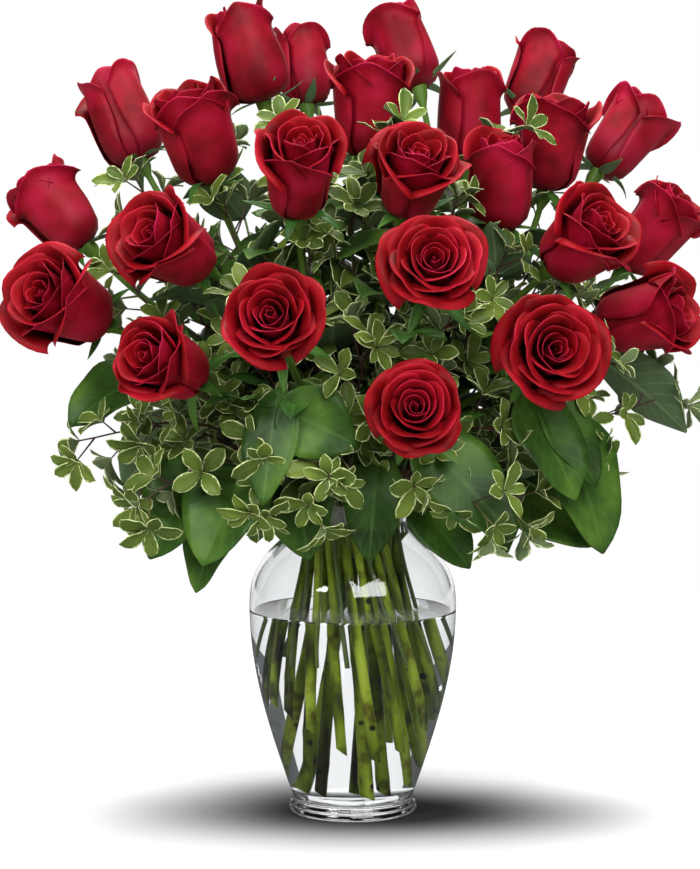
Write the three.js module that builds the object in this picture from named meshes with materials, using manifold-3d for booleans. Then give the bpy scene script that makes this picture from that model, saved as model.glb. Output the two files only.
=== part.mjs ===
// Two dozen roses with sprays of leaves, standing in water in a clear glass vase.
// Millimetres, +Z up. The origin is the middle of the vase's foot, on the surface it stands on.

import * as THREE from 'three';
import { mergeVertices } from 'three/addons/utils/BufferGeometryUtils.js';
import Module from 'manifold-3d';

const wasm = await Module();
wasm.setup();

// ---------------------------------------------------------------- driving dimensions

// Gap kept between pieces that touch.
const clearance = 0.3;

// Vase: blown clear glass, a ring foot, a body that swells to a shoulder, a neck and a flared lip.
const vaseHeight = 236;
const footRadius = 47.3;
const footHeight = 7;
const waistRadius = 44.6;
const waistHeight = 11.7;
const bellyRadius = 76.2;
const bellyHeight = 153.4;
const lipHeight = 22;
const lipFlare = 9;
const glassThickness = 3.5;
const baseThickness = 9;
const vaseSides = 32;

// The shoulder's curve: how far up towards the neck its two handles are, and how far out from the
// neck the upper one stands.
const shoulderHandles = [0.63, 0.77];
const shoulderHandleOut = 7;

// Water: how high it stands above the surface under the vase.
const waterLevel = 149;

// Rose stems: thickness, and the room left beside each one in the neck.
const stemDiameter = 7;
const stemPlay = 2.7;
const stemSides = 6;
const calyxRadius = 7.5;
const calyxLength = 17;
const calyxWidestShare = 0.35;
const calyxTopShare = 0.9;

// How far a stem goes on in its direction at the neck and under its bloom before it bends, per unit
// of the distance between them.
const stemBendShare = 0.36;

// Leaf sprays: stem thickness, the room left outside them in the neck, how deep they stand in water.
const sprayStemDiameter = 3.2;
const spraySides = 5;
const neckPlay = 2.3;
const sprayDepth = 36;
const leafThickness = 1;

// Where a spray passes over the lip: how far outside and above it, and how steeply it still climbs.
const sprayCrest = { out: 8, above: 18, slope: 0.5 };

// How a spray arches from there to its tip, per unit of the distance between them.
const sprayArch = { leave: 0.35, arriveOut: 0.3, arriveDown: 0.25 };

// Leaves on the sprays.
const salalLeafLength = 82;
const salalLeafWidth = 46;
const pittosporumLeafLength = 36;
const pittosporumLeafWidth = 17;
const salalLeafPlaces = [0.72, 0.86, 1];
const pittosporumLeafPlaces = [0.68, 0.76, 0.84, 0.92, 1];
const salalDroop = 0.45;
const pittosporumDroop = 0.1;
const leafStalkWidth = 2;

// A leaf points along its stem by the first of these for every unit of the second sideways; it is
// set into the stem by the last, per unit of the stem's thickness.
const leafForward = 0.5;
const leafSideways = 0.8;
const leafSeatShare = 0.7;

// How far the stems lean out below the neck, per unit of their place in the neck:
// sideways, front to back, and round the vase as in a spiralled bunch.
const fanSideways = 1.2;
const fanFrontBack = 0.3;
const fanTwist = 1.5;

// Blooms: a typical width, which also sets how far apart they stand.
const bloomWidth = 70;
const bloomSides = 10;

// Rings of stems in the neck: the angle between neighbours in the outer ring,
// and how much further apart the rings are than the stems in a ring.
const outerRingPitch = THREE.MathUtils.degToRad(20);
const ringStepShare = 1.08;

// ---------------------------------------------------------------- dimensions that follow

const stemSpacing = stemDiameter + stemPlay;
const outerRing = stemSpacing / (2 * Math.sin(outerRingPitch / 2));
const middleRing = outerRing - stemSpacing * ringStepShare;
const innerRing = middleRing - stemSpacing * ringStepShare;
const sprayRing = outerRing + stemDiameter / 2 + clearance + sprayStemDiameter / 2;
const neckInnerRadius = sprayRing + sprayStemDiameter / 2 + clearance + neckPlay;
const neckRadius = neckInnerRadius + glassThickness;
const neckHeight = vaseHeight - lipHeight;
const lipRadius = neckRadius + lipFlare;
const up = new THREE.Vector3(0, 0, 1);

// Where each rose is: its stem's ring and angle in the neck, the middle of its bloom above the
// middle of the mouth in bloom widths, the way it faces, its width and length in bloom widths,
// and how open it is (0 a closed bud, 1 full).
const roses = [
  [innerRing, 140, [-1.13, 1.0, 4.66], [-0.3, -0.1, 0.95], 0.74, 1.03, 0],
  [middleRing, 120, [-0.57, 2.36, 4.64], [-0.1, 0.3, 0.95], 0.7, 0.93, 0],
  [middleRing, 86, [0.6, 2.14, 4.8], [-0.3, 0.35, 0.89], 0.88, 0.96, 0.1],
  [outerRing, 152, [-2.54, 1.36, 3.99], [-0.4, 0.3, 0.87], 0.86, 1.08, 0.1],
  [middleRing, 193, [-1.6, -0.36, 3.7], [-0.3, -0.2, 0.93], 0.98, 1.0, 0.4],
  [innerRing, 260, [0.19, 0.21, 4.04], [0, -0.15, 1], 1.02, 1.05, 0.3],
  [innerRing, 354, [1.26, 0.71, 3.97], [0, -0.1, 1], 0.84, 0.97, 0.1],
  [middleRing, 54, [2.1, 2.0, 4.46], [0.35, 0.35, 0.85], 0.86, 0.92, 0.1],
  [middleRing, 250, [-0.51, -1.64, 3.26], [0.05, -0.65, 0.75], 0.94, 0.94, 0.6],
  [middleRing, 290, [0.59, -1.5, 3.23], [0.2, -0.6, 0.75], 1.03, 0.88, 0.7],
  [middleRing, 322, [1.52, -0.5, 3.22], [0.02, -0.3, 0.95], 0.82, 0.95, 0.1],
  [middleRing, 9, [2.11, 0.57, 3.67], [0.1, -0.1, 0.98], 1.02, 0.98, 0.3],
  [outerRing, 47, [3.0, 1.71, 3.79], [0.55, 0.3, 0.75], 0.93, 0.98, 0.4],
  [outerRing, 172, [-3.13, 0.43, 2.94], [-0.65, 0.1, 0.75], 0.94, 0.92, 0.4],
  [outerRing, 212, [-1.79, -1.36, 2.57], [-0.6, -0.65, 0.4], 1.05, 0.92, 0.8],
  [outerRing, 192, [-2.89, -0.86, 1.97], [-0.6, -0.7, 0.35], 1.16, 0.98, 0.8],
  [outerRing, 232, [-1.8, -1.86, 1.41], [-0.55, -0.75, 0.3], 0.95, 0.88, 0.8],
  [outerRing, 252, [-0.74, -2.36, 1.81], [-0.1, -0.93, 0.35], 1.02, 0.88, 0.8],
  [outerRing, 292, [0.76, -2.14, 2.33], [0.05, -0.9, 0.42], 1.05, 0.8, 1],
  [outerRing, 338, [2.27, -1.14, 2.61], [0.55, -0.6, 0.55], 1.05, 0.88, 0.8],
  [outerRing, 26, [3.29, 1.0, 2.73], [0.6, -0.25, 0.75], 0.93, 0.98, 0.4],
  [outerRing, 0, [3.0, -0.29, 1.84], [0.85, -0.45, 0.2], 1.0, 1.0, 0.5],
  [outerRing, 311, [1.9, -1.57, 1.49], [0.25, -0.92, 0.25], 1.15, 0.88, 1],
  [outerRing, 269, [0.59, -2.14, 0.96], [0, -0.95, 0.3], 0.95, 0.78, 1],
].map(([ring, turn, at, faces, wide, long, open]) => ({ ring, turn, at, faces, wide, long, open }));

// Where each spray leaves the neck, and its tip: angle round the vase, distance out and height
// above the mouth in bloom widths.
const salalSprays = [
  { turn: 202, tip: [206, 2.0, -0.3] },
  { turn: 242, tip: [246, 1.7, 0.3] },
  { turn: 281, tip: [288, 1.5, -0.2] },
  { turn: 349, tip: [342, 2.0, 0.1] },
  { turn: 100, tip: [95, 1.9, 0.2] },
];
const pittosporumSprays = [
  { turn: 182, tip: [185, 2.3, 0.4] },
  { turn: 222, tip: [222, 2.2, 0.45] },
  { turn: 302, tip: [316, 2.1, 0.3] },
  { turn: 13, tip: [10, 2.4, 0.4] },
  { turn: 142, tip: [140, 2.0, 0.4] },
];

// ---------------------------------------------------------------- materials

function finish(color, roughness, opacity = 1) {
  const transparent = opacity < 1;
  return new THREE.MeshStandardMaterial({ color, roughness, metalness: 0, opacity, transparent });
}

const clearGlass = finish(0xe8f2f2, 0.03, 0.3);
const clearWater = finish(0xeaf4f2, 0.02, 0.25);
const redPetal = finish(0xa81420, 0.55);
const greenStem = finish(0x5d7a2a, 0.5);
const salalLeaf = finish(0x3f7328, 0.4);
const pittosporumLeaf = finish(0x8a9a62, 0.5);

// ---------------------------------------------------------------- solids

// A manifold solid from a closed geometry, with the shared corners merged and slivers at poles left out.
function toSolid(geometry) {
  const loose = geometry.clone();
  loose.deleteAttribute('normal');
  loose.deleteAttribute('uv');
  const merged = mergeVertices(loose, 1e-3);
  const corners = [];
  for (let i = 0; i < merged.index.count; i += 3) {
    const [a, b, c] = merged.index.array.slice(i, i + 3);
    if (a !== b && b !== c && c !== a) corners.push(a, b, c);
  }
  return new wasm.Manifold(new wasm.Mesh({
    numProp: 3,
    vertProperties: Float32Array.from(merged.attributes.position.array),
    triVerts: Uint32Array.from(corners),
  }));
}

// The geometry of a manifold solid.
function toGeometry(solid) {
  const mesh = solid.getMesh();
  const geometry = new THREE.BufferGeometry();
  geometry.setAttribute('position', new THREE.BufferAttribute(mesh.vertProperties, 3));
  geometry.setIndex(new THREE.BufferAttribute(mesh.triVerts, 1));
  geometry.computeVertexNormals();
  return geometry;
}

// A solid turned round the Z axis from an outline of (radius, height) points, listed from the
// bottom of the axis up the outside.
function turned(outline, sides) {
  return new THREE.LatheGeometry(outline, sides).rotateX(Math.PI / 2);
}

// A round bar along a path.
function bar(path, diameter, sides, steps) {
  const section = new THREE.Shape();
  for (let i = 0; i <= sides; i += 1) {
    const angle = i / sides * 2 * Math.PI;
    const x = diameter / 2 * Math.cos(angle);
    const y = diameter / 2 * Math.sin(angle);
    if (i === 0) section.moveTo(x, y);
    else section.lineTo(x, y);
  }
  return new THREE.ExtrudeGeometry(section, { steps, bevelEnabled: false, extrudePath: path });
}

function piece(name, geometry, material) {
  const mesh = new THREE.Mesh(geometry, material);
  mesh.name = name;
  return mesh;
}

// ---------------------------------------------------------------- vase

// The glass's outside from above the foot ring to the rim.
function glassOutline() {
  const bodySteps = 6;
  const shoulderSteps = 5;
  const lipSteps = 3;
  const outline = [];
  for (let i = 0; i <= bodySteps; i += 1) {
    const share = i / bodySteps;
    const radius = waistRadius + (bellyRadius - waistRadius) * Math.sin(share * Math.PI / 2);
    outline.push(new THREE.Vector2(radius, waistHeight + (bellyHeight - waistHeight) * share));
  }
  const shoulder = new THREE.CubicBezierCurve(
    new THREE.Vector2(bellyRadius, bellyHeight),
    new THREE.Vector2(bellyRadius, THREE.MathUtils.lerp(bellyHeight, neckHeight, shoulderHandles[0])),
    new THREE.Vector2(
      neckRadius + shoulderHandleOut,
      THREE.MathUtils.lerp(bellyHeight, neckHeight, shoulderHandles[1]),
    ),
    new THREE.Vector2(neckRadius, neckHeight),
  );
  outline.push(...shoulder.getPoints(shoulderSteps).slice(1));
  const lip = new THREE.QuadraticBezierCurve(
    new THREE.Vector2(neckRadius, neckHeight),
    new THREE.Vector2(neckRadius, neckHeight + lipHeight / 2),
    new THREE.Vector2(lipRadius, vaseHeight),
  );
  outline.push(...lip.getPoints(lipSteps).slice(1));
  return outline;
}

// The outline moved inwards by a distance, square to itself, no higher than the rim.
function inset(outline, distance) {
  return outline.map((point, i) => {
    const before = outline[Math.max(i - 1, 0)];
    const after = outline[Math.min(i + 1, outline.length - 1)];
    const along = after.clone().sub(before).normalize();
    const height = Math.min(point.y + along.x * distance, vaseHeight);
    return new THREE.Vector2(point.x - along.y * distance, height);
  });
}

const outside = glassOutline();
const inside = inset(outside, glassThickness);

function vase() {
  const outline = [
    new THREE.Vector2(0, 0),
    new THREE.Vector2(footRadius, 0),
    new THREE.Vector2(footRadius, footHeight),
    ...outside,
    ...inside.slice().reverse(),
    new THREE.Vector2(inside[0].x, baseThickness),
    new THREE.Vector2(0, baseThickness),
  ];
  return turned(outline, vaseSides);
}

// The radius of an outline at a height.
function radiusAt(outline, height) {
  for (let i = 1; i < outline.length; i += 1) {
    const [low, high] = [outline[i - 1], outline[i]];
    if (height <= high.y) {
      return low.x + (high.x - low.x) * Math.max(height - low.y, 0) / (high.y - low.y);
    }
  }
  return outline[outline.length - 1].x;
}

// ---------------------------------------------------------------- stems below the neck

// A place in the neck, and where a straight stem through it has got to, a share of the way down.
function neckPoint(ring, turn) {
  const angle = THREE.MathUtils.degToRad(turn);
  return new THREE.Vector3(ring * Math.cos(angle), ring * Math.sin(angle), neckHeight);
}

function downStem(neck, share) {
  const drop = share * (neckHeight - baseThickness);
  return new THREE.Vector3(
    neck.x + share * (fanSideways * neck.x - fanTwist * neck.y),
    neck.y + share * (fanTwist * neck.x + fanFrontBack * neck.y),
    neckHeight - drop,
  );
}

// The lowest point of a stem's middle line: where its cut end would meet the glass or the base,
// or at a height where it is cut short.
function footOf(neck, diameter, lowest) {
  const wallSlope = 1.1;
  const stepShare = 0.002;
  let share = 0;
  let foot = neck;
  while (share < 1) {
    share += stepShare;
    const next = downStem(neck, share);
    const corner = next.z - diameter / 2;
    const reach = Math.hypot(next.x, next.y) + wallSlope * diameter / 2 + clearance;
    if (corner < lowest || reach > radiusAt(inside, corner) * Math.cos(Math.PI / vaseSides)) break;
    foot = next;
  }
  return foot;
}

// A stem's path: straight from its foot to the neck, then bending to its top, which it meets
// along a given direction.
function stemPath(neck, foot, top, direction) {
  const path = new THREE.CurvePath();
  path.add(new THREE.LineCurve3(foot, neck));
  const span = neck.distanceTo(top);
  const rise = neck.clone().sub(foot).normalize();
  path.add(new THREE.CubicBezierCurve3(
    neck,
    neck.clone().addScaledVector(rise, span * stemBendShare),
    top.clone().addScaledVector(direction, -span * stemBendShare),
    top,
  ));
  return path;
}

// ---------------------------------------------------------------- roses

// A bloom's outline for a unit width and length, from a closed bud to a full bloom.
const budOutline = [[0, 0], [0.24, 0.03], [0.45, 0.2], [0.5, 0.45], [0.44, 0.75], [0.24, 0.95], [0, 1]];
const fullOutline = [[0, 0], [0.2, 0.04], [0.4, 0.28], [0.5, 0.62], [0.47, 0.82], [0.28, 0.95], [0, 1]];

function bloom(width, length, open) {
  const outline = budOutline.map(([radius, height], i) => new THREE.Vector2(
    width * THREE.MathUtils.lerp(radius, fullOutline[i][0], open),
    length * THREE.MathUtils.lerp(height, fullOutline[i][1], open),
  ));
  return turned(outline, bloomSides);
}

// The cup of sepals under the petals, from its neck on the stem to its flat top.
function calyx() {
  return turned([
    new THREE.Vector2(0, -calyxLength),
    new THREE.Vector2(stemDiameter / 2, -calyxLength),
    new THREE.Vector2(calyxRadius, -calyxLength * calyxWidestShare),
    new THREE.Vector2(calyxRadius * calyxTopShare, 0),
    new THREE.Vector2(0, 0),
  ], stemSides);
}

function rose(number, values) {
  const pathSteps = 9;
  const name = `rose_${String(number).padStart(2, '0')}`;
  const axis = new THREE.Vector3(...values.faces).normalize();
  const middle = new THREE.Vector3(...values.at).multiplyScalar(bloomWidth).addScaledVector(up, vaseHeight);
  const length = values.long * bloomWidth;
  const base = middle.clone().addScaledVector(axis, -length / 2);
  const top = base.clone().addScaledVector(axis, -clearance);
  const turn = new THREE.Quaternion().setFromUnitVectors(up, axis);

  const flower = piece(`${name}_bloom`, bloom(values.wide * bloomWidth, length, values.open), redPetal);
  flower.position.copy(base);
  flower.quaternion.copy(turn);

  const neck = neckPoint(values.ring, values.turn);
  const foot = footOf(neck, stemDiameter, baseThickness + clearance);
  const path = stemPath(neck, foot, top, axis);
  const placed = new THREE.Matrix4().compose(top, turn, new THREE.Vector3(1, 1, 1));
  const cup = toSolid(calyx().applyMatrix4(placed));
  const stalk = toSolid(bar(path, stemDiameter, stemSides, pathSteps)).add(cup);
  const stem = piece(`${name}_stem`, toGeometry(stalk), greenStem);
  return { flower, stem, foot, neck, diameter: stemDiameter, sides: stemSides };
}

// ---------------------------------------------------------------- leaf sprays

// A flat pointed leaf along +X from the origin, its thickness centred on the XY plane.
function leaf(length, width) {
  const outline = new THREE.Shape();
  const stalkEnd = length * 0.1;
  const heel = length * 0.16;
  const widest = length * 0.4;
  const taper = length * 0.8;
  const stalkHalf = leafStalkWidth / 2;
  outline.moveTo(0, -stalkHalf);
  outline.lineTo(stalkEnd, -stalkHalf);
  outline.quadraticCurveTo(heel, -width / 2, widest, -width / 2);
  outline.quadraticCurveTo(taper, -width / 2, length, 0);
  outline.quadraticCurveTo(taper, width / 2, widest, width / 2);
  outline.quadraticCurveTo(heel, width / 2, stalkEnd, stalkHalf);
  outline.lineTo(0, stalkHalf);
  outline.closePath();
  const plate = new THREE.ExtrudeGeometry(outline, {
    depth: leafThickness,
    bevelEnabled: false,
    curveSegments: 2,
  });
  return plate.translate(0, 0, -leafThickness / 2);
}

// A spray: a thin stem from the water over the lip, with leaves to its left and right.
function spray(name, values, shares, leafLength, leafWidth, droop, material) {
  const pathSteps = 14;
  const neck = neckPoint(sprayRing, values.turn);
  const foot = footOf(neck, sprayStemDiameter, waterLevel - sprayDepth);
  const [tipTurn, reach, height] = values.tip;
  const angle = THREE.MathUtils.degToRad(tipTurn);
  const outward = new THREE.Vector3(Math.cos(angle), Math.sin(angle), 0);
  const tip = outward.clone().multiplyScalar(reach * bloomWidth);
  tip.z = vaseHeight + height * bloomWidth;
  const crest = outward.clone().multiplyScalar(lipRadius + sprayCrest.out);
  crest.z = vaseHeight + sprayCrest.above;
  const overLip = outward.clone().addScaledVector(up, sprayCrest.slope);
  const reachLeft = crest.distanceTo(tip);
  const path = new THREE.CurvePath();
  path.add(new THREE.LineCurve3(foot, neck));
  path.add(new THREE.CubicBezierCurve3(
    neck,
    neck.clone().addScaledVector(up, lipHeight),
    crest.clone().addScaledVector(overLip, -lipFlare),
    crest,
  ));
  path.add(new THREE.CubicBezierCurve3(
    crest,
    crest.clone().addScaledVector(overLip, reachLeft * sprayArch.leave),
    tip.clone()
      .addScaledVector(outward, -reachLeft * sprayArch.arriveOut)
      .addScaledVector(up, reachLeft * sprayArch.arriveDown),
    tip,
  ));
  let solid = toSolid(bar(path, sprayStemDiameter, spraySides, pathSteps));
  shares.forEach((share, i) => {
    const start = path.getPointAt(share);
    const along = path.getTangentAt(share);
    const side = new THREE.Vector3().crossVectors(along, up).normalize().multiplyScalar(i % 2 ? 1 : -1);
    const last = share === 1;
    const point = along.clone();
    if (!last) point.multiplyScalar(leafForward).addScaledVector(side, leafSideways);
    point.z -= droop;
    point.normalize();
    const across = new THREE.Vector3().crossVectors(up, point).normalize();
    const face = new THREE.Vector3().crossVectors(point, across);
    const placed = new THREE.Matrix4().makeBasis(point, across, face);
    placed.setPosition(start.addScaledVector(point, -sprayStemDiameter * leafSeatShare));
    solid = solid.add(toSolid(leaf(leafLength, leafWidth).applyMatrix4(placed)));
  });
  const mesh = piece(name, toGeometry(solid), material);
  return { mesh, foot, neck, diameter: sprayStemDiameter, sides: spraySides };
}

// ---------------------------------------------------------------- water

// The water fills the glass to its level, round the stems that stand in it.
function water(standing) {
  const pastTheFoot = 0.02;
  const shore = inset(outside, glassThickness + clearance);
  const side = shore.filter((point) => point.y < waterLevel);
  const outline = [
    new THREE.Vector2(0, baseThickness + clearance),
    new THREE.Vector2(side[0].x, baseThickness + clearance),
    ...side,
    new THREE.Vector2(radiusAt(shore, waterLevel), waterLevel),
    new THREE.Vector2(0, waterLevel),
  ];
  let solid = toSolid(turned(outline, vaseSides));
  for (const { foot, neck, diameter, sides } of standing) {
    const run = new THREE.LineCurve3(foot.clone().lerp(neck, -pastTheFoot), neck);
    solid = solid.subtract(toSolid(bar(run, diameter + 2 * clearance, sides, 1)));
  }
  return toGeometry(solid);
}

// ---------------------------------------------------------------- assembly

const bouquet = new THREE.Group();
const grown = roses.map((values, i) => rose(i + 1, values));
const sprays = [
  ...salalSprays.map((values, i) => spray(
    `salal_${i + 1}`, values, salalLeafPlaces, salalLeafLength, salalLeafWidth, salalDroop, salalLeaf,
  )),
  ...pittosporumSprays.map((values, i) => spray(
    `pittosporum_${i + 1}`, values, pittosporumLeafPlaces, pittosporumLeafLength, pittosporumLeafWidth,
    pittosporumDroop, pittosporumLeaf,
  )),
];

bouquet.add(piece('vase', vase(), clearGlass));
bouquet.add(piece('water', water([...grown, ...sprays]), clearWater));
for (const { flower, stem } of grown) bouquet.add(flower, stem);
for (const { mesh } of sprays) bouquet.add(mesh);

export default bouquet;
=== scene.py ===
import math
import random

import bpy
import numpy as np
from mathutils import Matrix, Vector


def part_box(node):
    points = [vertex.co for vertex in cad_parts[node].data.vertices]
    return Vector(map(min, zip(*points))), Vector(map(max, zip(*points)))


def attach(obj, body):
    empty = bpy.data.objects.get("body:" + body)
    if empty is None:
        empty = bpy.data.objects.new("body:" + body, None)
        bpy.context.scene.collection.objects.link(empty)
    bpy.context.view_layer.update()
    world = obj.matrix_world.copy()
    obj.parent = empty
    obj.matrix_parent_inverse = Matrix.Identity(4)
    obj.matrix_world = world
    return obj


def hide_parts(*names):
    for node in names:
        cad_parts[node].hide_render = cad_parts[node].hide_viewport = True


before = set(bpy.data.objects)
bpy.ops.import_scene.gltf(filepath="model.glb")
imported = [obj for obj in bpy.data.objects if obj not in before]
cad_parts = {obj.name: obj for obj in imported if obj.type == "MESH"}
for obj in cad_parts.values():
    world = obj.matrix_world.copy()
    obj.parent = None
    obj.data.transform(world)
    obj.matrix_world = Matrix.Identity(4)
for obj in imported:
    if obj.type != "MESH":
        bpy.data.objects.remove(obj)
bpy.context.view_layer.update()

# -------------------------------------------- studio
# A white floor with a soft shade painted into its colour round the vase's foot, and a white surround. Broad
# soft lights stand front left, front right and overhead; the camera is a little above the middle.

scene = bpy.context.scene
scene.view_settings.view_transform = "Standard"

camera_at = Vector((-0.002, -1.70, 0.40))
camera_towards = Vector((-0.002, 0.0, 0.278))
bpy.ops.object.camera_add(location=camera_at)
camera = bpy.context.object
camera.name = "camera"
camera.rotation_euler = (camera_towards - camera_at).to_track_quat("-Z", "Y").to_euler()
camera.data.lens = 96.2
camera.data.clip_start = 0.05
scene.camera = camera


def soft_light(name, place, towards, width, power):
    bpy.ops.object.light_add(type="AREA", location=place)
    light = bpy.context.object
    light.name = name
    light.rotation_euler = (Vector(towards) - Vector(place)).to_track_quat("-Z", "Y").to_euler()
    light.data.size = width
    light.data.energy = power


soft_light("front_left_light", (-1.1, -1.3, 1.25), (0, 0, 0.36), 0.6, 22)
soft_light("front_right_light", (0.55, -1.5, 1.35), (0, 0, 0.25), 1.3, 40)
soft_light("top_light", (0.05, 0.25, 1.7), (0, 0, 0.3), 0.9, 28)

world = bpy.data.worlds.new("white_surround")
scene.world = world
world.use_nodes = True
world.node_tree.nodes["Background"].inputs["Color"].default_value = (0.92, 0.95, 1, 1)
world.node_tree.nodes["Background"].inputs["Strength"].default_value = 0.12


def principled(name, colour, roughness, **sockets):
    """A plain Principled material; returns it with its shader node."""
    material = bpy.data.materials.new(name)
    material.use_nodes = True
    shader = material.node_tree.nodes["Principled BSDF"]
    shader.inputs["Base Color"].default_value = (*colour, 1)
    shader.inputs["Roughness"].default_value = roughness
    for socket, value in sockets.items():
        shader.inputs[socket.replace("_", " ")].default_value = value
    return material, shader


def add(material, kind, **values):
    """A shader node with some of its sockets or settings filled in."""
    node = material.node_tree.nodes.new(kind)
    for key, value in values.items():
        if hasattr(node, key):
            setattr(node, key, value)
        else:
            node.inputs[key.replace("_", " ")].default_value = value
    return node


def link(material, source, target):
    """Feeds a node's socket from another's; a plain number or vector is set on it instead."""
    if isinstance(source, bpy.types.NodeSocket):
        material.node_tree.links.new(source, target)
    else:
        target.default_value = source


def maths(material, operation, *values):
    """The result of one sum on sockets or plain numbers."""
    node = add(material, "ShaderNodeMath", operation=operation)
    for socket, value in zip(node.inputs, values):
        link(material, value, socket)
    return node.outputs[0]


def object_place(material):
    """Where a point is in the object's own space."""
    return add(material, "ShaderNodeTexCoord").outputs["Object"]


def away_from(material, middle, scale, near, far, strength):
    """A value that grows from 0 inside near to strength beyond far, round a place on the floor."""
    moved = add(material, "ShaderNodeMapping", vector_type="TEXTURE", Location=middle, Scale=scale)
    away = add(material, "ShaderNodeVectorMath", operation="LENGTH")
    grow = add(material, "ShaderNodeMapRange", interpolation_type="SMOOTHSTEP",
               From_Min=near, From_Max=far, To_Max=strength)
    link(material, object_place(material), moved.inputs["Vector"])
    link(material, moved.outputs["Vector"], away.inputs[0])
    link(material, away.outputs["Value"], grow.inputs["Value"])
    return grow.outputs["Result"]


bpy.ops.mesh.primitive_plane_add(size=9, location=(0, 0, -0.0004))
floor = bpy.context.object
floor.name = "floor"
floor_white, shader = principled("floor_white", (0.95, 0.95, 0.95), 0.8, Specular_IOR_Level=0.0)

# The shade is painted into the floor's colour, an oval that is darker near the foot, and the floor glows
# white beyond it.
shade_middle, shade_squash = (0.018, -0.01, 0), (1, 0.52, 1)
all_round, vase_middle = (1, 1, 1), (0, 0, 0)
darkest_painted_shade, painted_foot_light, nearby_glow, far_glow = 0.03, 0.8, 1.14, 1.0
shade = away_from(floor_white, shade_middle, shade_squash, 0.05, 0.25, 0.94 - darkest_painted_shade)
# Under the foot the floor's colour is painted lighter, a painted pool of the light that the glass lets
# through.
not_foot = away_from(floor_white, vase_middle, all_round, 0.034, 0.048, painted_foot_light)
painted_shade_colour = maths(floor_white, "ADD", shade, darkest_painted_shade)
painted_light_under_foot = maths(floor_white, "SUBTRACT", painted_foot_light, not_foot)
link(floor_white, maths(floor_white, "MAXIMUM", painted_shade_colour, painted_light_under_foot), shader.inputs["Base Color"])
glow = add(floor_white, "ShaderNodeEmission")
fade = away_from(floor_white, vase_middle, all_round, 0.8, 1.3, nearby_glow - far_glow)
link(floor_white, maths(floor_white, "SUBTRACT", nearby_glow, fade), glow.inputs["Strength"])
both = add(floor_white, "ShaderNodeMixShader")
beyond_shade = away_from(floor_white, shade_middle, shade_squash, 0.20, 0.42, 1.0)
for socket, source in zip(both.inputs, (beyond_shade, shader.outputs[0], glow.outputs[0])):
    link(floor_white, source, socket)
link(floor_white, both.outputs[0], floor_white.node_tree.nodes["Material Output"].inputs["Surface"])
floor.data.materials.append(floor_white)
floor.visible_glossy = False

bpy.ops.mesh.primitive_plane_add(size=4.6, location=(0, 4.4, 2.1), rotation=(math.pi / 2, 0, 0))
backdrop = bpy.context.object
backdrop.name = "backdrop"
backdrop_white, shader = principled("backdrop_white", (0, 0, 0), 1.0, Specular_IOR_Level=0.0,
                                    Emission_Strength=1.0)
shader.inputs["Emission Color"].default_value = (1, 1, 1, 1)
backdrop.data.materials.append(backdrop_white)

# The surround closes the view from every other side, and neither lights nor shades anything.
bpy.ops.mesh.primitive_cylinder_add(vertices=64, radius=4.4, depth=8, end_fill_type="NOTHING",
                                    location=(0, 0, 4))
surround = bpy.context.object
surround.name = "surround"
surround.data.materials.append(backdrop_white)
for way in ("diffuse", "glossy", "transmission", "shadow"):
    setattr(surround, f"visible_{way}", False)

# -------------------------------------------- vase
# One piece of clear pressed glass: a ring foot with two shallow beads, a swelling body, a neck
# and a flared, rounded lip. Its outline is spun round the middle, and its base is thicker than
# its wall. The glass that the water wets has no gleam of its own.

glass_wall = 0.0035
glass_base = 0.009
vase_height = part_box("vase")[1][2]
waist = (0.0446, 0.0117)
belly = (0.0762, 0.1534)
lip_height = 0.022
lip_flare = 0.009
neck = (0.041, vase_height - lip_height)
body_steps = 26


def bezier(points, count):
    """Points along a curve pulled by its handles, without its first."""
    t = np.linspace(0, 1, count + 1)[1:, None]
    points = [np.array(point, float) for point in points]
    while len(points) > 1:
        points = [a * (1 - t) + b * t for a, b in zip(points, points[1:])]
    return points[0]


def inset(outline, distance):
    """The outline moved in by a distance, square to itself."""
    along = np.gradient(outline, axis=0)
    along /= np.linalg.norm(along, axis=1)[:, None]
    return outline + distance * np.stack([-along[:, 1], along[:, 0]], 1)


def weld(threshold, fill_ends=False):
    """Joins the active piece's vertices where they meet, may fill its ends, and turns its faces out."""
    bpy.ops.object.mode_set(mode="EDIT")
    bpy.ops.mesh.select_all(action="SELECT")
    bpy.ops.mesh.remove_doubles(threshold=threshold)
    if fill_ends:
        bpy.ops.mesh.select_all(action="DESELECT")
        bpy.ops.mesh.select_non_manifold()
        bpy.ops.mesh.fill_holes(sides=0)
        bpy.ops.mesh.select_all(action="SELECT")
    bpy.ops.mesh.normals_make_consistent(inside=False)
    bpy.ops.object.mode_set(mode="OBJECT")


def spun(name, outline):
    """A solid of revolution from an outline whose two ends are on the axis."""
    bpy.ops.object.select_all(action="DESELECT")
    bpy.ops.mesh.primitive_circle_add(vertices=len(outline), radius=0.01)
    piece = bpy.context.object
    piece.name = name
    points = np.insert(outline, 1, 0, axis=1)
    piece.data.vertices.foreach_set("co", points.ravel())
    bpy.context.tool_settings.mesh_select_mode = (False, True, False)
    for vertex in piece.data.vertices:
        vertex.select = False
    for edge in piece.data.edges:
        edge.select = set(edge.vertices) == {0, len(outline) - 1}
    bpy.ops.object.mode_set(mode="EDIT")
    bpy.ops.mesh.delete(type="EDGE_FACE")
    bpy.ops.mesh.select_all(action="SELECT")
    bpy.ops.mesh.spin(steps=96, angle=2 * math.pi, center=(0, 0, 0), axis=(0, 0, 1))
    weld(1e-6)
    bpy.ops.object.shade_smooth()
    return piece


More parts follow.
